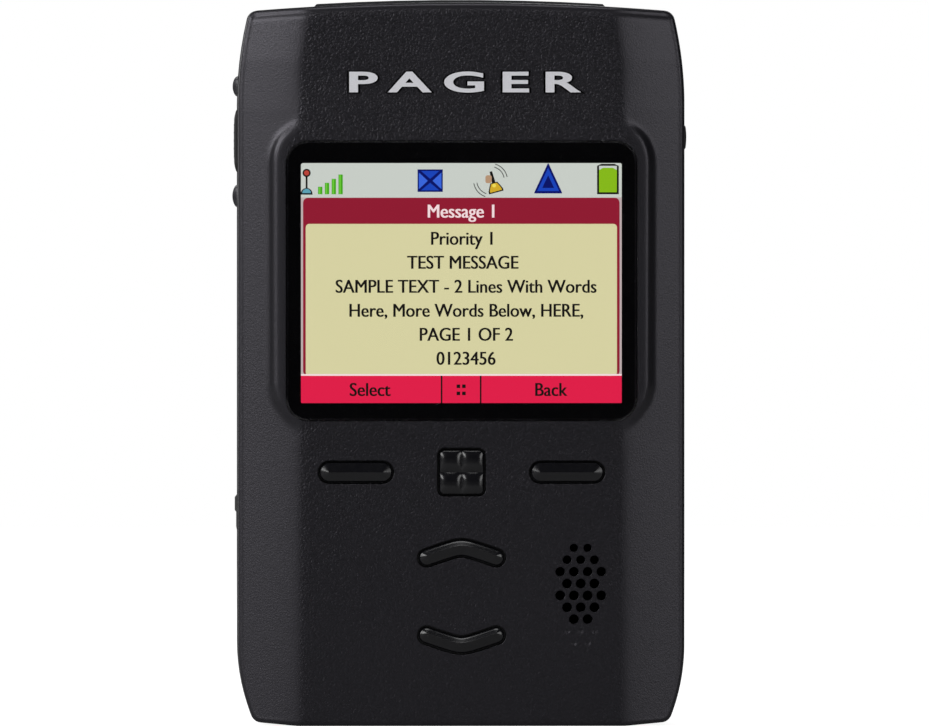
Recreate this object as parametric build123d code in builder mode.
from build123d import *

import os
from math import atan2, copysign, degrees, hypot

# A hand-sized two-way pager, standing on its foot. X runs to the viewer's right, Z runs up, and the
# front faces -Y. Depths are given as levels: a level is the distance of a face in front of the
# mid-plane of the case, so the bezel's crest is the highest level and the back is the lowest.
# All sizes are in millimetres.

os.makedirs("parts", exist_ok=True)

# --- Case ---
body_width = 56.6
body_height = 92.0
body_depth = 22.5
foot_ramp = 5.6  # the bottom edge rises to its corners over this width
bottom_rise = 0.5  # lift of the bottom edge at its corners
top_drop = 1.1  # fall of the top edge from the middle to its corners
lip_rise = 0.35  # how far the rear housing's lip stands above the front housing's top
lip_setback = 9.8  # from the case's sides to the lip's ends
upper_taper_length = 13.0  # the sides curve in over this length below the top
upper_taper_in = 1.5
lower_taper_length = 10.3
lower_taper_in = 2.0
corner_radius = 1.4
least_corner_radius = 0.3
wall = 1.8
front_wall = 1.8
back_wall = 3.25
front_edge_radius = 2.0
back_edge_radius = 2.2
parting_level = -2.0  # where the two housings meet
band_rise = 0.55  # raised centre band above the flanks
bezel_rise = 0.5  # display bezel above the centre band
band_half_width = 20.5
bezel_side = 1.6  # bezel beyond the lens at each side

# --- Display ---
window_width = 41.6
window_height = 31.5
window_radius = 0.8
window_drop = 35.59  # from the top of the case to the window's middle
lens_side_border = 1.4
lens_top_border = 2.29
lens_bottom_border = 1.61
lens_thickness = 1.3
lens_radius = 2.8
lens_recess = 0.2  # lens face below the bezel's crest
lens_clearance = 0.1
adhesive_thickness = 0.1
adhesive_setback = 0.25  # tape inside the lens's edge
adhesive_window_gap = 0.2  # tape outside the window's edge
panel_side = 2.5  # the panel beyond the window at each side
panel_ledge = 3.55  # the same, averaged over its top and bottom edges
panel_thickness = 1.1
panel_drop = 0.76  # the panel's middle is below the window's, for its driver ledge
gasket_thickness = 0.4
gasket_width = 1.6
gasket_window_gap = 0.3  # foam ring outside the window's edge
gasket_squeeze_gap = 0.02
gasket_radius = 1.0
panel_radius = 0.4
backlight_radius = 0.6
backlight_border = 1.0  # the backlight frame stands out this far round the panel
backlight_thickness = 1.8
backlight_floor = 0.4
guide_border = 0.8
guide_gap = 0.1
flex_width = 18.0
flex_thickness = 0.15
flex_depth = 0.5  # ribbon's front face below the panel's
flex_lift = 0.15  # ribbon above the board
flex_bow = 0.6  # the ribbon turns this far beyond the backlight
flex_landing = 2.6

# --- Badge ---
badge_width = 30.6
badge_height = 4.2
badge_thickness = 0.45
badge_drop = 9.95  # from the top of the case to the badge's middle
badge_proud = 0.1

# --- Front keys ---
key_gap = 0.25  # groove round every key
key_proud = 0.3
key_edge = 0.3  # chamfer round a key's face
key_travel = 0.4
key_row_gap = 0.325  # between the menu key's flange and the display panel
soft_key_x = 13.38
soft_key_length = 9.7
soft_key_height = 2.97
menu_key_side = 6.15
menu_key_radius = 0.9
chevron_half_span = 4.4  # from the apex to the middle of an arm's round end
chevron_thickness = 2.5
chevron_rise = 1.17
up_key_drop = 9.58  # from the key row to the up key's apex
down_key_drop = 12.32  # from there to the down key's apex
flange_margin = 0.45
flange_thickness = 0.5
foot_radius = 1.2
mat_thickness = 0.6
mat_post_radius = 0.9
mat_row_half_width = 21.0
mat_row_height = 5.0
mat_stem_half_width = 7.4
mat_below = 5.05  # mat below the down key's apex
dome_height = 0.3
dome_radius = 2.2
film_thickness = 0.15

# --- Side keys ---
side_key_level = 3.4
side_key_drop = 17.55  # from the top of the case to the side key's middle
side_key_length = 8.0
side_key_width = 3.2
side_key_proud = 0.5
right_button_drop = 17.1
right_button_length = 3.1
right_button_proud = 0.35
side_flange_margin = 0.6
side_flange_thickness = 0.5
side_foot = 0.35
side_travel = 0.35
guard_offsets = (6.9, -7.0)  # raised guards above and below the left side key
guard_length = 2.4
guard_proud = 0.62
guard_width = 4.4
switch_depth = 2.5
switch_length = 4.6
switch_height = 1.6

# --- Speaker ---
speaker_x = 15.1
speaker_drop = 14.1  # from the key row to the speaker's axis
speaker_radius = 6.5
speaker_height = 2.6
cone_radius = 5.9
magnet_radius = 3.5
grille_pitch = 1.735
grille_row_spacing = 1.505
grille_rows = (2, 3, 4, 3, 4, 3, 2)
grille_hole_radius = 0.55
dimple_rows = (3, 2)
dimple_radius = 0.4
dimple_depth = 0.25

# --- Board and what it carries ---
board_front_level = 5.2
board_thickness = 1.0
board_clearance = 0.4
solder_gap = 0.02
boss_radius = 3.1
boss_bite = 0.3  # a corner boss runs this far into the walls
board_screw_side = (4.4, 5.8)  # lower and upper board screws, in from the case's sides
board_screw_low_z = 12.5
board_screw_drop = 12.65
board_post_radius = 1.9
board_screw_radius = 0.7
board_screw_head = 1.4
board_screw_head_height = 0.8
thread_clearance = 0.05
case_screw_radius = 0.95
case_screw_head = 1.8
case_screw_head_height = 1.4
case_screw_seat = -5.0
case_screw_tip = 3.5
socket_radius = 0.75
shield_width = 36.0
shield_height = 28.0
shield_depth = 2.4
shield_sheet = 0.25
shield_centre_z = 47.0
chips = (  # name, x, height above the shield's middle, side, thickness
    ("processor_chip", -8.5, 4.0, 10.0, 1.1),
    ("memory_chip", 5.5, 5.0, 8.0, 0.9),
    ("radio_chip", 5.0, -7.0, 7.0, 0.9),
)
clock_cell_place = (12.0, 27.0)
clock_cell_radius = 3.4
clock_cell_height = 1.4

# --- Case seal ---
seal_inset = 0.55
seal_width = 0.7
seal_height = 0.6
seal_clearance = 0.05

# --- USB socket and its cover ---
port_z = 25.4
port_level = 2.87
usb_width = 7.5
usb_height = 2.6
usb_depth = 5.0
usb_sheet = 0.3
usb_setback = 0.2
port_clearance = 0.15
cover_length = 9.7
cover_width = 5.5
cover_thickness = 1.0
cover_clearance = 0.15
cover_plug_reach = 0.7
cover_plug_length = 6.2
cover_plug_height = 1.5
cover_tab_proud = 0.4
cover_tab_length = 1.6
cover_tab_width = 4.0
cover_pad_proud = 0.22
cover_pad_length = 2.9

# --- Vibration motor ---
motor_z = 9.0
motor_level = 0.35
motor_radius = 2.9
motor_length = 10.0
motor_left_x = -18.0
boot_thickness = 0.5
boot_length = 5.5
shaft_radius = 0.4
shaft_clearance = 0.05
shaft_reach = 4.8  # shaft beyond the motor's face
shaft_inside = 5.0
weight_radius = 2.6
weight_length = 3.6
weight_gap = 0.8  # between the motor's face and the weight

# --- Antenna ---
carrier_setback = 9.3  # from the case's sides to the carrier's ends
carrier_height = 6.5
carrier_drop = 6.9
carrier_back_level = -4.5
carrier_gap = 0.3
strip_thickness = 0.2
strip_width = 0.9
strip_turns = 8

# --- Battery and door ---
bay_side_gap = 0.5
bay_below = 1.7  # room under the pack for the door's ribs
bay_above = 4.0  # room above the pack for the connector and the ribs
bay_floor_level = -4.6
bay_wall = 1.2
pack_width = 41.0
pack_height = 49.5
pack_bottom_z = 12.5
pack_thickness = 4.4
pack_clearance = 0.3
pack_radius = 1.2
door_margin = 2.5  # the door overlaps the bay by this much all round
door_bottom_margin = 1.8
door_thickness = 1.5
door_clearance = 0.15
door_radius = 2.5
door_seal_width = 0.8
door_seal_height = 0.5
door_seal_margin = 0.7
lug_width = 5.0
lug_thickness = 1.0
lug_reach = 2.2
lug_x = 14.0
grip_count = 5
grip_pitch = 1.5
grip_length = 14.0
grip_depth = 0.35
grip_width = 0.7
notch_radius = 5.0
notch_depth = 0.8
connector_width = 10.0
connector_height = 2.6
connector_reach = 3.6  # connector beyond the bay's floor
contact_pitch = 3.0
contact_width = 1.2
contact_proud = 0.8
pad_thickness = 0.1

# --- Levels and places that follow ---
half_width = body_width / 2
crest_level = body_depth / 2
band_level = crest_level - bezel_rise
flank_level = band_level - band_rise
inner_level = band_level - front_wall
back_level = -body_depth / 2
cavity_back_level = back_level + back_wall
crown_z = body_height - lip_rise
lip_width = body_width - 2 * lip_setback
window_centre_z = crown_z - window_drop
lens_width = window_width + 2 * lens_side_border
lens_height = window_height + lens_top_border + lens_bottom_border
lens_centre_z = window_centre_z + (lens_top_border - lens_bottom_border) / 2
bezel_half_width = lens_width / 2 + bezel_side
panel_width = window_width + 2 * panel_side
panel_height = window_height + 2 * panel_ledge
lens_level = crest_level - lens_recess
lens_back_level = lens_level - lens_thickness
ledge_level = lens_back_level - adhesive_thickness
panel_level = inner_level - gasket_thickness - 0.1
panel_back_level = panel_level - panel_thickness
panel_centre_z = window_centre_z - panel_drop
panel_bottom_z = panel_centre_z - panel_height / 2
key_row_z = panel_bottom_z - key_row_gap - flange_margin - menu_key_side / 2
up_key_z = key_row_z - up_key_drop
down_key_z = up_key_z - down_key_drop
mat_bottom_z = down_key_z - mat_below
speaker_z = key_row_z - speaker_drop
badge_centre_z = crown_z - badge_drop
side_key_z = crown_z - side_key_drop
right_button_z = crown_z - right_button_drop
guard_z = [side_key_z + offset for offset in guard_offsets]
carrier_width = body_width - 2 * carrier_setback
carrier_centre_z = crown_z - carrier_drop
pack_top_z = pack_bottom_z + pack_height
bay_width = pack_width + 2 * bay_side_gap
bay_bottom_z = pack_bottom_z - bay_below
bay_top_z = pack_top_z + bay_above
board_screw_places = [
    (side * (half_width - inset), z)
    for inset, z in zip(board_screw_side, (board_screw_low_z, crown_z - board_screw_drop))
    for side in (-1, 1)
]
backlight_level = panel_back_level - 0.05
board_back_level = board_front_level - board_thickness
board_side_level = board_back_level - solder_gap
flange_level = inner_level - 0.1
flange_back_level = flange_level - flange_thickness
mat_level = flange_back_level - key_travel - 0.05
mat_back_level = mat_level - mat_thickness
film_level = board_front_level + solder_gap + film_thickness
foot_level = film_level + dome_height + key_travel + 0.05
inner_x = half_width - wall
boss_x = inner_x - boss_radius + boss_bite
boss_places = [
    (side * boss_x, z)
    for side in (-1, 1)
    for z in (
        bottom_rise + wall + boss_radius - boss_bite,
        crown_z - top_drop - wall - boss_radius + boss_bite,
    )
]
door_level = back_level + door_thickness
door_ledge_level = door_level + 0.1
door_bottom_z = bay_bottom_z - door_bottom_margin
door_top_z = bay_top_z + door_margin
bay_centre_z = (bay_bottom_z + bay_top_z) / 2
door_centre_z = (door_bottom_z + door_top_z) / 2
door_width = bay_width + 2 * door_margin
door_height = door_top_z - door_bottom_z
hinge_x = -half_width + cover_thickness / 2
hinge_z = port_z - cover_length / 2 + cover_thickness / 2 - 0.65
cover_bottom_z = hinge_z - cover_thickness / 2


def at(level):
    """The plane parallel to the front at a level, with X to the right and Z up."""
    return Plane.XZ.offset(level)


def case_outline(level, inset=0.0):
    """The case's outline at a level, moved inwards by inset."""
    side = half_width - inset
    low_corner = (side - lower_taper_in, bottom_rise + inset)
    high_corner = (side - upper_taper_in, crown_z - top_drop - inset)
    low_side = (side, lower_taper_length)
    high_side = (side, crown_z - upper_taper_length)
    with BuildSketch(at(level)) as outline:
        with BuildLine():
            Polyline((0, inset), (low_corner[0] - foot_ramp, inset), low_corner)
            TangentArc(low_side, low_corner, tangent=(0, -1))
            Line(low_side, high_side)
            TangentArc(high_side, high_corner, tangent=(0, 1))
            mirror(about=Plane.YZ)
            ThreePointArc(high_corner, (0, crown_z - inset), (-high_corner[0], high_corner[1]))
        make_face()
        corners = [
            vertex
            for vertex in outline.vertices()
            for corner in (low_corner, high_corner)
            if hypot(abs(vertex.X) - corner[0], vertex.Y - corner[1]) < 0.001
        ]
        fillet(corners, radius=max(corner_radius - inset, least_corner_radius))
    return outline.sketch


def plate(centre, size, back, front, radius=0.0, mode=Mode.ADD):
    """Adds or cuts a plate parallel to the front, from the level back to the level front."""
    with BuildSketch(at(back)) as face:
        with Locations(centre):
            if radius:
                RectangleRounded(size[0], size[1], radius)
            else:
                Rectangle(size[0], size[1])
    extrude(face.sketch, amount=front - back, mode=mode)


def disc(centre, radius, back, front, mode=Mode.ADD):
    """Adds or cuts a round disc parallel to the front, from the level back to the level front."""
    with BuildSketch(at(back)) as face:
        with Locations(centre):
            Circle(radius)
    extrude(face.sketch, amount=front - back, mode=mode)


def side_plate(side, z, level, length, width, outer_x, deep_x, mode=Mode.ADD):
    """Adds or cuts a block in a side wall, from outer_x to deep_x, both counted outwards."""
    with BuildSketch(Plane.YZ.offset(side * deep_x)) as face:
        with Locations((-level, z)):
            Rectangle(width, length)
    extrude(face.sketch, amount=side * (outer_x - deep_x), mode=mode)


def soft_key_shape(level, centre_x, grow):
    """A stadium for a soft key, grown by grow all round."""
    with BuildSketch(at(level)) as shape:
        with Locations((centre_x, key_row_z)):
            SlotOverall(soft_key_length + 2 * grow, soft_key_height + 2 * grow)
    return shape.sketch


def menu_key_shape(level, grow):
    """A rounded square for the menu key, grown by grow all round."""
    with BuildSketch(at(level)) as shape:
        with Locations((0, key_row_z)):
            side = menu_key_side + 2 * grow
            RectangleRounded(side, side, max(menu_key_radius + grow, 0.2))
    return shape.sketch


def chevron_shape(level, apex_z, direction, grow):
    """Two round-ended arms that meet at the apex; direction is 1 for up and -1 for down."""
    arm = hypot(chevron_half_span, chevron_rise)
    lean = degrees(atan2(chevron_rise, chevron_half_span))
    with BuildSketch(at(level)) as shape:
        for side in (-1, 1):
            middle = (side * chevron_half_span / 2, apex_z - direction * chevron_rise / 2)
            with Locations(middle):
                SlotCenterToCenter(arm, chevron_thickness + 2 * grow, rotation=-side * direction * lean)
    return shape.sketch


key_shapes = {
    "left_soft_key": lambda level, grow: soft_key_shape(level, -soft_key_x, grow),
    "right_soft_key": lambda level, grow: soft_key_shape(level, soft_key_x, grow),
    "menu_key": lambda level, grow: menu_key_shape(level, grow),
    "up_key": lambda level, grow: chevron_shape(level, up_key_z, 1, grow),
    "down_key": lambda level, grow: chevron_shape(level, down_key_z, -1, grow),
}
key_feet = {
    "left_soft_key": (-soft_key_x, key_row_z),
    "right_soft_key": (soft_key_x, key_row_z),
    "menu_key": (0, key_row_z),
    "up_key": (0, up_key_z - chevron_rise / 4),
    "down_key": (0, down_key_z + chevron_rise / 4),
}


def hex_rows(rows, top_z):
    """Hole centres of a hexagonal pattern about the speaker's axis, one row per entry in rows."""
    return [
        (speaker_x + (column - (count - 1) / 2) * grille_pitch, top_z - row * grille_row_spacing)
        for row, count in enumerate(rows)
        for column in range(count)
    ]


grille_top_z = speaker_z + (len(grille_rows) - 1) / 2 * grille_row_spacing
grille_holes = hex_rows(grille_rows, grille_top_z)
dimples = hex_rows(dimple_rows, grille_top_z - len(grille_rows) * grille_row_spacing)

pieces = []


def finish(piece, label):
    """Labels a finished piece and writes it to its own file."""
    piece.part.label = label
    export_step(piece.part, f"parts/{label}.step")
    pieces.append(label)


# --- Front housing: a deep shell with the centre band, the bezel and every front opening ---
with BuildPart() as front_housing:
    extrude(case_outline(parting_level), amount=flank_level - parting_level)
    fillet(front_housing.faces().sort_by(Axis.Y)[0].edges(), radius=front_edge_radius)
    # The centre band, wider round the display.
    with BuildSketch(at(inner_level)) as band:
        with BuildLine():
            Polyline(
                (0, lower_taper_length / 2),
                (band_half_width, lower_taper_length / 2),
                (band_half_width, lens_centre_z - lens_height / 2 - 3),
                (bezel_half_width, lens_centre_z - lens_height / 2 + 2),
                (bezel_half_width, lens_centre_z + lens_height / 2 - 2),
                (band_half_width, lens_centre_z + lens_height / 2 + 3),
                (band_half_width - 1, crown_z - front_edge_radius),
                (0, crown_z - front_edge_radius),
            )
            mirror(about=Plane.YZ)
        make_face()
    extrude(amount=band_level - inner_level)
    plate(
        (0, lens_centre_z),
        (2 * bezel_half_width - 0.6, lens_height + 4),
        inner_level,
        crest_level,
        lens_radius + 1.5,
    )
    extrude(case_outline(parting_level, wall), amount=inner_level - parting_level, mode=Mode.SUBTRACT)
    for place in boss_places:
        disc(place, boss_radius, parting_level, inner_level)
        hole_top = case_screw_tip + 1
        hole = case_screw_radius + thread_clearance
        disc(place, hole, parting_level, hole_top, mode=Mode.SUBTRACT)
    for place in board_screw_places:
        disc(place, board_post_radius, board_front_level, inner_level)
        hole = board_screw_radius + thread_clearance
        disc(place, hole, board_front_level, inner_level - 0.6, mode=Mode.SUBTRACT)
    # Lens pocket, display window, badge recess and key openings.
    plate(
        (0, lens_centre_z),
        (lens_width + 2 * lens_clearance, lens_height + 2 * lens_clearance),
        ledge_level,
        crest_level + 1,
        lens_radius + lens_clearance,
        mode=Mode.SUBTRACT,
    )
    plate(
        (0, window_centre_z),
        (window_width, window_height),
        inner_level - 1,
        crest_level,
        window_radius,
        mode=Mode.SUBTRACT,
    )
    plate(
        (0, badge_centre_z),
        (badge_width + 0.2, badge_height + 0.2),
        band_level + badge_proud - badge_thickness - 0.02,
        crest_level,
        badge_height / 2,
        mode=Mode.SUBTRACT,
    )
    for shape in key_shapes.values():
        extrude(shape(inner_level - 1, 0.0), amount=crest_level - inner_level + 1, mode=Mode.SUBTRACT)
    # Speaker grille and the blind dimples below it.
    with BuildSketch(at(inner_level - 1)) as grille:
        with Locations(grille_holes):
            Circle(grille_hole_radius)
    extrude(amount=crest_level - inner_level + 1, mode=Mode.SUBTRACT)
    with BuildSketch(at(band_level - dimple_depth)) as blind:
        with Locations(dimples):
            Circle(dimple_radius)
    extrude(amount=1, mode=Mode.SUBTRACT)
    # Guards and opening of the left side key, opening of the right side button.
    for z in guard_z:
        with BuildSketch(at(side_key_level - guard_width / 2)) as guard:
            with BuildLine():
                foot = guard_length / 2
                Polyline(
                    (-half_width + wall / 2, z - foot),
                    (-half_width, z - foot),
                    (-half_width - guard_proud, z - foot / 3),
                    (-half_width - guard_proud, z + foot / 3),
                    (-half_width, z + foot),
                    (-half_width + wall / 2, z + foot),
                    close=True,
                )
            make_face()
        extrude(amount=guard_width)
    for side, z, length in ((-1, side_key_z, side_key_length), (1, right_button_z, right_button_length)):
        side_plate(
            side,
            z,
            side_key_level,
            length + 2 * key_gap,
            side_key_width + 2 * key_gap,
            half_width + 1,
            inner_x - 0.5,
            mode=Mode.SUBTRACT,
        )
    # Recess of the port cover and the opening behind it.
    recess_length = cover_length + 2 * cover_clearance
    side_plate(
        -1,
        cover_bottom_z + cover_length / 2,
        port_level,
        recess_length,
        cover_width + 2 * cover_clearance,
        half_width + 1,
        half_width - cover_thickness - cover_clearance,
        mode=Mode.SUBTRACT,
    )
    side_plate(
        -1,
        port_z,
        port_level,
        usb_width + 2 * port_clearance,
        usb_height + 2 * port_clearance,
        half_width + 1,
        inner_x - 0.5,
        mode=Mode.SUBTRACT,
    )
    # Groove for the case seal.
    extrude(
        case_outline(parting_level, seal_inset - seal_clearance)
        - case_outline(parting_level, seal_inset + seal_width + seal_clearance),
        amount=seal_height + 2 * seal_clearance,
        mode=Mode.SUBTRACT,
    )
finish(front_housing, "front_housing")

# --- Case seal: one flat-sided rubber ring in the groove ---
with BuildPart() as case_seal:
    extrude(
        case_outline(parting_level + seal_clearance, seal_inset)
        - case_outline(parting_level + seal_clearance, seal_inset + seal_width),
        amount=seal_height,
    )
finish(case_seal, "case_seal")

# --- Rear housing: a shell with the battery bay and the door's recess ---
with BuildPart() as rear_housing:
    extrude(case_outline(parting_level), amount=back_level - parting_level)
    fillet(rear_housing.faces().sort_by(Axis.Y)[-1].edges(), radius=back_edge_radius)
    # A lip along the middle of the top, which follows the top's arc.
    with BuildSketch(at(cavity_back_level)) as lip:
        with BuildLine():
            lip_end = lip_width / 2
            end_drop = top_drop * (lip_end / (half_width - upper_taper_in)) ** 2
            Polyline(
                (-lip_end + lip_rise, body_height - end_drop),
                (-lip_end, crown_z - end_drop),
                (-lip_end, crown_z - wall),
                (lip_end, crown_z - wall),
                (lip_end, crown_z - end_drop),
                (lip_end - lip_rise, body_height - end_drop),
            )
            ThreePointArc(
                (lip_end - lip_rise, body_height - end_drop),
                (0, body_height),
                (-lip_end + lip_rise, body_height - end_drop),
            )
        make_face()
    extrude(amount=parting_level - cavity_back_level)
    extrude(
        case_outline(parting_level, wall),
        amount=cavity_back_level - parting_level,
        mode=Mode.SUBTRACT,
    )
    plate(
        (0, bay_centre_z),
        (bay_width + 2 * bay_wall, bay_top_z - bay_bottom_z + 2 * bay_wall),
        cavity_back_level - 1,
        bay_floor_level + bay_wall,
    )
    for place in boss_places:
        disc(place, boss_radius, cavity_back_level - 0.5, parting_level)
        disc(place, case_screw_radius + 0.15, case_screw_seat - 1, parting_level, mode=Mode.SUBTRACT)
        disc(place, case_screw_head + 0.3, back_level - 1, case_screw_seat, mode=Mode.SUBTRACT)
    plate(
        (0, bay_centre_z),
        (bay_width, bay_top_z - bay_bottom_z),
        back_level - 1,
        bay_floor_level,
        pack_radius,
        mode=Mode.SUBTRACT,
    )
    plate(
        (0, door_centre_z),
        (door_width + 2 * door_clearance, door_height + 2 * door_clearance),
        back_level - 1,
        door_ledge_level,
        door_radius + door_clearance,
        mode=Mode.SUBTRACT,
    )
    plate(
        (0, pack_top_z + 1 + connector_height / 2),
        (connector_width + 0.4, connector_height + 0.2),
        bay_floor_level - 1,
        parting_level,
        mode=Mode.SUBTRACT,
    )
finish(rear_housing, "rear_housing")

# --- Case screws: four, from the back into the front housing's corner bosses ---
with BuildPart() as case_screws:
    for place in boss_places:
        disc(place, case_screw_radius, case_screw_seat, case_screw_tip)
        disc(place, case_screw_head, case_screw_seat - case_screw_head_height, case_screw_seat)
        with BuildSketch(at(case_screw_seat - case_screw_head_height)) as socket:
            with Locations(place):
                RegularPolygon(socket_radius, 6)
        extrude(amount=case_screw_head_height / 2, mode=Mode.SUBTRACT)
finish(case_screws, "case_screws")

# --- Display: lens, tape, foam ring, panel and backlight ---
with BuildPart() as display_lens:
    plate((0, lens_centre_z), (lens_width, lens_height), lens_back_level, lens_level, lens_radius)
    chamfer(display_lens.faces().sort_by(Axis.Y)[0].edges(), length=0.15)
finish(display_lens, "display_lens")

with BuildPart() as lens_adhesive:
    tape_size = (lens_width - 2 * adhesive_setback, lens_height - 2 * adhesive_setback)
    tape_radius = lens_radius - adhesive_setback
    plate((0, lens_centre_z), tape_size, ledge_level, lens_back_level, tape_radius)
    plate(
        (0, window_centre_z),
        (window_width + 2 * adhesive_window_gap, window_height + 2 * adhesive_window_gap),
        ledge_level,
        lens_back_level,
        window_radius,
        mode=Mode.SUBTRACT,
    )
finish(lens_adhesive, "lens_adhesive")

with BuildPart() as display_gasket:
    foam_back = panel_level + gasket_squeeze_gap
    foam_front = foam_back + gasket_thickness
    foam_size = (window_width + 2 * gasket_window_gap, window_height + 2 * gasket_window_gap)
    outer = (foam_size[0] + 2 * gasket_width, foam_size[1] + 2 * gasket_width)
    plate((0, window_centre_z), outer, foam_back, foam_front, gasket_radius)
    plate((0, window_centre_z), foam_size, foam_back, foam_front, mode=Mode.SUBTRACT)
finish(display_gasket, "display_gasket")

with BuildPart() as display_panel:
    plate((0, panel_centre_z), (panel_width, panel_height), panel_back_level, panel_level, panel_radius)
finish(display_panel, "display_panel")

backlight_size = (panel_width + 2 * backlight_border, panel_height + 2 * backlight_border)
guide_size = (panel_width - 2 * guide_border, panel_height - 2 * guide_border)
backlight_back = backlight_level - backlight_thickness
with BuildPart() as backlight_frame:
    plate((0, panel_centre_z), backlight_size, backlight_back, backlight_level, backlight_radius)
    plate(
        (0, panel_centre_z),
        guide_size,
        backlight_back + backlight_floor,
        backlight_level,
        mode=Mode.SUBTRACT,
    )
finish(backlight_frame, "backlight_frame")

with BuildPart() as light_guide:
    plate(
        (0, panel_centre_z),
        (guide_size[0] - 2 * guide_gap, guide_size[1] - 2 * guide_gap),
        backlight_back + backlight_floor + guide_gap / 2,
        backlight_level - guide_gap / 2,
    )
finish(light_guide, "light_guide")

# --- Display ribbon: from the panel's top edge back to the board ---
ribbon_front = panel_level - flex_depth
ribbon_start = panel_centre_z + panel_height / 2 + solder_gap
ribbon_turn = panel_centre_z + backlight_size[1] / 2 + flex_bow
ribbon_rest = board_front_level + flex_lift
with BuildPart() as display_flex:
    for low, high, back, front in (
        (ribbon_start, ribbon_turn, ribbon_front - flex_thickness, ribbon_front),
        (ribbon_turn - flex_thickness, ribbon_turn, ribbon_rest, ribbon_front),
        (
            ribbon_turn - flex_thickness,
            ribbon_turn + flex_landing,
            ribbon_rest,
            ribbon_rest + flex_thickness,
        ),
    ):
        plate((0, (low + high) / 2), (flex_width, high - low), back, front)
finish(display_flex, "display_flex")

# --- Badge: a plain bar with a raised pattern of bars ---
with BuildPart() as badge:
    badge_back = band_level + badge_proud - badge_thickness
    plate((0, badge_centre_z), (badge_width, badge_height), badge_back, badge_back + 0.3, badge_height / 2.1)
    plate(
        (0, badge_centre_z),
        (badge_width - 1.2, badge_height - 1.2),
        badge_back,
        badge_back + badge_thickness,
        badge_height / 3,
    )
finish(badge, "badge")

# --- Front keys: a cap in the opening, a flange behind the wall and a foot above the dome ---
for name, shape in key_shapes.items():
    with BuildPart() as key:
        cap_back = flange_back_level
        extrude(shape(cap_back, -key_gap), amount=band_level + key_proud - cap_back)
        chamfer(key.faces().sort_by(Axis.Y)[0].edges(), length=key_edge)
        extrude(shape(flange_back_level, flange_margin), amount=flange_thickness)
        disc(key_feet[name], foot_radius, foot_level, flange_back_level)
    finish(key, name)

# --- Keypad mat: a silicone web with holes round the feet and posts that hold it in place ---
row_x = soft_key_x + soft_key_length / 2 + flange_margin + mat_post_radius + 0.4
mat_posts = [
    (-row_x, key_row_z),
    (row_x, key_row_z),
    (-(soft_key_x + menu_key_side / 2 - soft_key_length / 2) / 2, key_row_z),
    ((soft_key_x + menu_key_side / 2 - soft_key_length / 2) / 2, key_row_z),
    (0, (key_row_z - menu_key_side / 2 + up_key_z + chevron_thickness / 2) / 2),
    (0, (up_key_z + down_key_z) / 2),
]
with BuildPart() as keypad_mat:
    row_top = key_row_z + mat_row_height / 2
    plate((0, key_row_z), (2 * mat_row_half_width, mat_row_height), mat_back_level, mat_level, 0.8)
    plate(
        (0, (row_top - 1 + mat_bottom_z) / 2),
        (2 * mat_stem_half_width, row_top - 1 - mat_bottom_z),
        mat_back_level,
        mat_level,
        0.8,
    )
    for place in mat_posts:
        disc(place, mat_post_radius, film_level + 0.02, inner_level - 0.02)
    for place in key_feet.values():
        disc(place, foot_radius + 0.35, mat_back_level, mat_level, mode=Mode.SUBTRACT)
finish(keypad_mat, "keypad_mat")

# --- Dome sheet: a thin film on the board with one snap dome under each key ---
with BuildPart() as dome_sheet:
    film_back = board_front_level + solder_gap
    plate((0, key_row_z), (2 * mat_row_half_width - 1, mat_row_height - 0.4), film_back, film_level, 0.8)
    plate(
        (0, (row_top - 1 + mat_bottom_z) / 2),
        (2 * mat_stem_half_width - 1, row_top - 2 - mat_bottom_z),
        film_back,
        film_level,
        0.8,
    )
    for place in key_feet.values():
        with BuildSketch(at(film_level)) as dome:
            with Locations(place):
                Circle(dome_radius)
        extrude(amount=dome_height, taper=55)
finish(dome_sheet, "dome_sheet")

# --- Side keys: a cap through the wall, a flange inside it and a foot for the switch ---
flange_outer_x = inner_x - 0.1
flange_inner_x = flange_outer_x - side_flange_thickness
for name, side, z, length, proud in (
    ("side_key", -1, side_key_z, side_key_length, side_key_proud),
    ("right_side_button", 1, right_button_z, right_button_length, right_button_proud),
):
    with BuildPart() as side_piece:
        side_plate(side, z, side_key_level, length, side_key_width, half_width + proud, flange_inner_x)
        outer = side_piece.faces().sort_by(Axis.X)[0 if side < 0 else -1]
        chamfer(outer.edges(), length=0.3)
        side_plate(
            side,
            z,
            side_key_level,
            length + 2 * side_flange_margin,
            side_key_width + 2 * side_flange_margin,
            flange_outer_x,
            flange_inner_x,
        )
        side_plate(
            side,
            z,
            board_side_level - switch_height / 2,
            1.6,
            1.0,
            flange_inner_x,
            flange_inner_x - side_foot,
        )
    finish(side_piece, name)

# --- Side switches: one on the board behind each side key ---
plunger_x = flange_inner_x - side_foot - side_travel - 0.1
with BuildPart() as side_switches:
    for side, z in ((-1, side_key_z), (1, right_button_z)):
        level = board_side_level - switch_height / 2
        side_plate(side, z, level, switch_length, switch_height, plunger_x - 0.2, plunger_x - switch_depth)
        side_plate(side, z, level, 1.4, 0.8, plunger_x, plunger_x - switch_depth / 2)
finish(side_switches, "side_switches")

# --- Speaker: mesh, foam ring, basket, cone and magnet ---
speaker = (speaker_x, speaker_z)
basket_level = inner_level - 0.75
basket_back = basket_level - speaker_height
gasket_inner = speaker_radius - 0.8
with BuildPart() as speaker_mesh:
    disc(speaker, gasket_inner - 0.1, inner_level - 0.2, inner_level - 0.02)
finish(speaker_mesh, "speaker_mesh")

with BuildPart() as speaker_gasket:
    disc(speaker, speaker_radius - 0.1, basket_level + 0.02, inner_level - 0.05)
    disc(speaker, gasket_inner, basket_level, inner_level, mode=Mode.SUBTRACT)
finish(speaker_gasket, "speaker_gasket")

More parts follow.
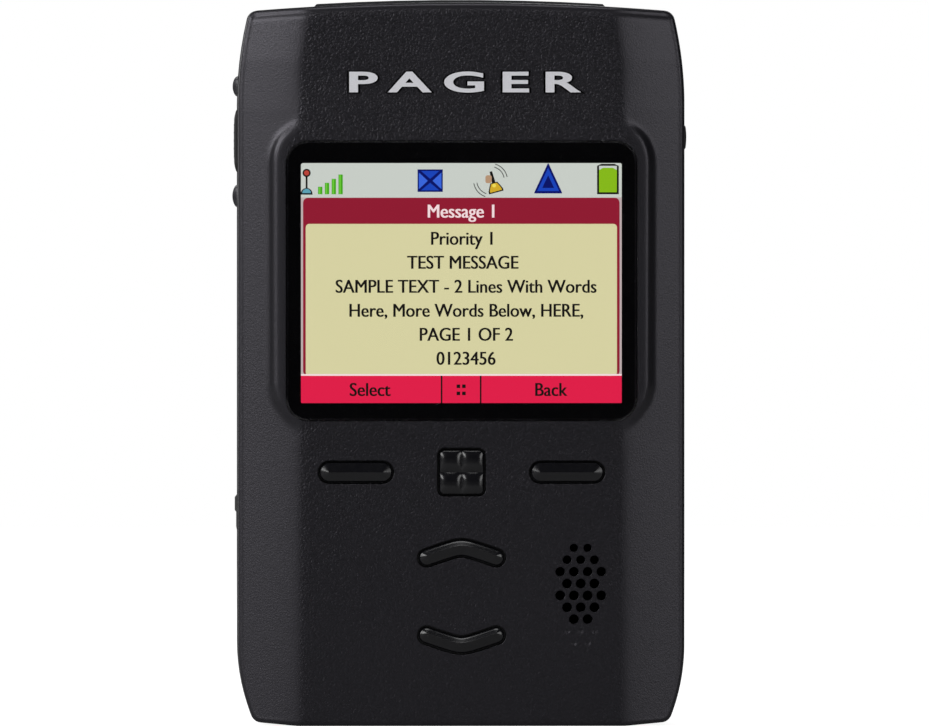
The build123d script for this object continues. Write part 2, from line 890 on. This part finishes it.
with BuildPart() as speaker_basket:
    disc(speaker, speaker_radius, basket_back, basket_level)
    disc(speaker, cone_radius + 0.1, basket_level - 0.8, basket_level, mode=Mode.SUBTRACT)
    disc(speaker, magnet_radius + 0.05, basket_back, basket_level, mode=Mode.SUBTRACT)
finish(speaker_basket, "speaker_basket")

with BuildPart() as speaker_cone:
    disc(speaker, cone_radius, basket_level - 0.6, basket_level - 0.35)
    with BuildSketch(at(basket_level - 0.35)) as cone_dome:
        with Locations(speaker):
            Circle(cone_radius / 2)
    extrude(amount=0.3, taper=45)
finish(speaker_cone, "speaker_cone")

with BuildPart() as speaker_magnet:
    disc(speaker, magnet_radius, basket_back - 0.1, basket_level - 0.8)
finish(speaker_magnet, "speaker_magnet")

# --- Main board, cleared round the bosses and the side keys ---
with BuildPart() as main_board:
    extrude(case_outline(board_back_level, wall + board_clearance), amount=board_thickness)
    for place in boss_places:
        disc(place, boss_radius + board_clearance, board_back_level, board_front_level, mode=Mode.SUBTRACT)
        outer_edge = (copysign(boss_x + board_clearance, place[0]), place[1])
        disc(outer_edge, boss_radius, board_back_level, board_front_level, mode=Mode.SUBTRACT)
    for place in board_screw_places:
        disc(place, board_screw_radius + 0.1, board_back_level, board_front_level, mode=Mode.SUBTRACT)
    for side, z, length in ((-1, side_key_z, side_key_length), (1, right_button_z, right_button_length)):
        side_plate(
            side,
            z,
            board_front_level - board_thickness / 2,
            length + 2 * side_flange_margin + 1,
            board_thickness,
            half_width,
            flange_inner_x - side_foot - side_travel - 0.5,
            mode=Mode.SUBTRACT,
        )
finish(main_board, "main_board")

with BuildPart() as board_screws:
    for place in board_screw_places:
        disc(place, board_screw_radius, board_back_level, inner_level - 0.8)
        head_back = board_back_level - board_screw_head_height
        disc(place, board_screw_head, head_back, board_back_level)
        plate(place, (board_screw_head * 1.3, 0.3), head_back, head_back + 0.3, mode=Mode.SUBTRACT)
finish(board_screws, "board_screws")

# --- Shield can over the radio and processor chips ---
with BuildPart() as shield_can:
    shield_back = board_side_level - shield_depth
    plate((0, shield_centre_z), (shield_width, shield_height), shield_back, board_side_level, 1.0)
    plate(
        (0, shield_centre_z),
        (shield_width - 2 * shield_sheet, shield_height - 2 * shield_sheet),
        shield_back + shield_sheet,
        board_side_level,
        0.75,
        mode=Mode.SUBTRACT,
    )
finish(shield_can, "shield_can")

for name, x, rise, side, height in chips:
    with BuildPart() as chip:
        plate((x, shield_centre_z + rise), (side, side), board_side_level - height, board_side_level)
        chamfer(chip.faces().sort_by(Axis.Y)[-1].edges(), length=0.15)
    finish(chip, name)

with BuildPart() as clock_cell:
    cell_back = board_side_level - clock_cell_height
    disc(clock_cell_place, clock_cell_radius, cell_back, board_side_level)
    chamfer(clock_cell.faces().sort_by(Axis.Y)[-1].edges(), length=0.2)
finish(clock_cell, "clock_cell")

# --- USB socket on the board's edge ---
socket_outer_x = inner_x - usb_setback
socket_level = board_side_level - usb_height / 2
with BuildPart() as usb_socket:
    side_plate(-1, port_z, socket_level, usb_width, usb_height, socket_outer_x, socket_outer_x - usb_depth)
    side_plate(
        -1,
        port_z,
        socket_level,
        usb_width - 2 * usb_sheet,
        usb_height - 2 * usb_sheet,
        socket_outer_x,
        socket_outer_x - usb_depth + 0.6,
        mode=Mode.SUBTRACT,
    )
    side_plate(
        -1,
        port_z,
        socket_level,
        usb_width * 0.5,
        0.5,
        socket_outer_x - 0.6,
        socket_outer_x - usb_depth + 0.3,
    )
finish(usb_socket, "usb_socket")

# --- Port cover: a rubber flap with a round lower end on the hinge line, a plug and a finger tab ---
with BuildPart() as usb_cover:
    with BuildSketch(at(port_level - cover_width / 2)) as flap:
        with Locations((hinge_x, hinge_z)):
            Circle(cover_thickness / 2)
        with Locations((hinge_x, (hinge_z + cover_bottom_z + cover_length) / 2)):
            Rectangle(cover_thickness, cover_bottom_z + cover_length - hinge_z)
    extrude(amount=cover_width)
    side_plate(
        -1,
        port_z,
        socket_level,
        cover_plug_length,
        cover_plug_height,
        half_width - cover_thickness / 2,
        half_width - cover_thickness - cover_plug_reach,
    )
    tab_top = cover_bottom_z + cover_length - 0.8
    for length, proud, top in (
        (cover_tab_length, cover_tab_proud, tab_top),
        (cover_pad_length, cover_pad_proud, tab_top - cover_tab_length + 0.1),
    ):
        side_plate(
            -1,
            top - length / 2,
            port_level,
            length,
            cover_tab_width,
            half_width + proud,
            half_width - cover_thickness / 2,
        )
finish(usb_cover, "usb_cover")

# --- Vibration motor with its boot, shaft and eccentric weight, all on one axis along X ---
motor_right_x = motor_left_x + motor_length


def turned(x0, x1, radius, mode=Mode.ADD):
    """Adds or cuts a cylinder on the motor's axis, from x0 to x1."""
    with BuildSketch(Plane.YZ.offset(x0)) as circle:
        with Locations((-motor_level, motor_z)):
            Circle(radius)
    extrude(circle.sketch, amount=x1 - x0, mode=mode)


with BuildPart() as vibration_motor:
    turned(motor_left_x, motor_right_x, motor_radius)
    turned(motor_right_x, motor_right_x + 0.4, shaft_radius * 2.2)
    turned(motor_right_x - shaft_inside - 0.1, motor_right_x + 1, shaft_radius + shaft_clearance, Mode.SUBTRACT)
finish(vibration_motor, "vibration_motor")

boot_left_x = motor_left_x + (motor_length - boot_length) / 3
with BuildPart() as motor_boot:
    turned(boot_left_x, boot_left_x + boot_length, motor_radius + 0.03 + boot_thickness)
    turned(boot_left_x, boot_left_x + boot_length, motor_radius + 0.03, Mode.SUBTRACT)
finish(motor_boot, "motor_boot")

with BuildPart() as motor_shaft:
    turned(motor_right_x - shaft_inside, motor_right_x + shaft_reach, shaft_radius)
finish(motor_shaft, "motor_shaft")

weight_left_x = motor_right_x + weight_gap
with BuildPart() as eccentric_weight:
    with BuildSketch(Plane.YZ.offset(weight_left_x)) as half_disc:
        with Locations((-motor_level, motor_z)):
            Circle(weight_radius)
            with Locations((0, weight_radius)):
                Rectangle(3 * weight_radius, 2 * weight_radius - 0.2, mode=Mode.SUBTRACT)
            Circle(shaft_radius * 2.2)
            Circle(shaft_radius, mode=Mode.SUBTRACT)
    extrude(amount=weight_length)
finish(eccentric_weight, "eccentric_weight")

# --- Antenna: a moulded carrier under the case's top, a meandering strip on it and a spring contact ---
with BuildPart() as antenna_carrier:
    plate(
        (0, carrier_centre_z),
        (carrier_width, carrier_height),
        carrier_back_level,
        board_back_level - carrier_gap,
        0.8,
    )
finish(antenna_carrier, "antenna_carrier")

with BuildPart() as antenna_strip:
    strip_back = carrier_back_level - strip_thickness
    strip_pitch = (carrier_width - 4) / strip_turns
    strip_left = -strip_pitch * strip_turns / 2
    strip_top = carrier_centre_z + carrier_height / 2 - 1.2
    strip_bottom = carrier_centre_z - carrier_height / 2 + 1.2
    for turn in range(strip_turns + 1):
        x = strip_left + turn * strip_pitch
        middle = (strip_top + strip_bottom) / 2
        rail = (strip_width, strip_top - strip_bottom + strip_width)
        plate((x, middle), rail, strip_back, carrier_back_level)
        if turn < strip_turns:
            z = strip_top if turn % 2 else strip_bottom
            link = (strip_pitch + strip_width, strip_width)
            plate((x + strip_pitch / 2, z), link, strip_back, carrier_back_level)
finish(antenna_strip, "antenna_strip")

with BuildPart() as antenna_spring:
    spring_x = carrier_width / 2 + 0.8
    plate((spring_x - 0.1, carrier_centre_z - 3.6), (1.2, 1.6), board_side_level - 0.2, board_side_level)
    plate((spring_x - 0.1, carrier_centre_z - 3.0), (1.2, 0.3), strip_back, board_side_level)
    plate((spring_x - 0.6, carrier_centre_z - 3.0), (2.6, 0.3), strip_back, carrier_back_level - 0.02)
finish(antenna_spring, "antenna_spring")

# --- Battery connector and its three spring contacts ---
connector_z = pack_top_z + 1 + connector_height / 2
connector_back = bay_floor_level - connector_reach
with BuildPart() as battery_connector:
    plate((0, connector_z), (connector_width, connector_height), connector_back, board_side_level)
finish(battery_connector, "battery_connector")

contact_columns = [(-contact_pitch, 0), (0, 0), (contact_pitch, 0)]
with BuildPart() as battery_contacts:
    for x, _ in contact_columns:
        plate(
            (x, pack_top_z + 1 - contact_proud / 2),
            (contact_width, contact_proud),
            connector_back + 0.4,
            bay_floor_level - 0.8,
        )
    fillet(battery_contacts.edges().filter_by(Axis.X).group_by(Axis.Z)[0], radius=0.3)
finish(battery_contacts, "battery_contacts")

# --- Battery pack with its three pads ---
pack_level = bay_floor_level - pack_clearance
pack_centre_z = (pack_bottom_z + pack_top_z) / 2
with BuildPart() as battery_pack:
    pack_size = (pack_width, pack_top_z - pad_thickness - pack_bottom_z)
    pack_middle = (0, pack_centre_z - pad_thickness / 2)
    plate(pack_middle, pack_size, pack_level - pack_thickness, pack_level, pack_radius)
    fillet(battery_pack.faces().sort_by(Axis.Y)[-1].edges(), radius=0.5)
finish(battery_pack, "battery_pack")

with BuildPart() as battery_pads:
    for x, _ in contact_columns:
        plate(
            (x, pack_top_z - pad_thickness / 2),
            (contact_width + 0.6, pad_thickness),
            pack_level - 3.4,
            pack_level - 0.4,
        )
finish(battery_pads, "battery_pads")

# --- Battery door with its seal: plain ribs locate it, so it lifts straight off ---
seal_outer = (bay_width + 2 * door_seal_margin + 2 * door_seal_width, bay_top_z - bay_bottom_z + 2 * (
    door_seal_margin + door_seal_width) - 1)
with BuildPart() as battery_door:
    plate((0, door_centre_z), (door_width, door_height), back_level, door_level, door_radius)
    chamfer(battery_door.faces().sort_by(Axis.Y)[-1].edges(), length=0.3)
    for x in (-lug_x, lug_x):
        for z in (bay_bottom_z + 0.2 + lug_thickness / 2, bay_top_z - 0.2 - lug_thickness / 2):
            plate((x, z), (lug_width, lug_thickness), door_level, door_level + lug_reach)
    seal_floor = door_level - door_seal_height - 0.05
    for size, cut in ((0.05, Mode.SUBTRACT), (-door_seal_width - 0.05, Mode.ADD)):
        plate(
            (0, bay_centre_z),
            (seal_outer[0] + 2 * size, seal_outer[1] + 2 * size),
            seal_floor,
            door_level,
            1.5,
            mode=cut,
        )
    with BuildSketch(at(back_level)) as notch:
        with Locations((0, door_bottom_z - notch_radius * 0.55)):
            Circle(notch_radius)
    extrude(amount=notch_depth, mode=Mode.SUBTRACT)
    for row in range(grip_count):
        z = door_bottom_z + 4.0 + row * grip_pitch
        plate(
            (0, z),
            (grip_length, grip_width),
            back_level - 1,
            back_level + grip_depth,
            grip_width / 2.1,
            mode=Mode.SUBTRACT,
        )
finish(battery_door, "battery_door")

with BuildPart() as battery_door_seal:
    seal_back = seal_floor + 0.02
    plate((0, bay_centre_z), seal_outer, seal_back, door_level + 0.06, 1.5)
    plate(
        (0, bay_centre_z),
        (seal_outer[0] - 2 * door_seal_width, seal_outer[1] - 2 * door_seal_width),
        seal_back,
        door_level + 0.06,
        1.5,
        mode=Mode.SUBTRACT,
    )
finish(battery_door_seal, "battery_door_seal")

print(len(pieces), "pieces written")
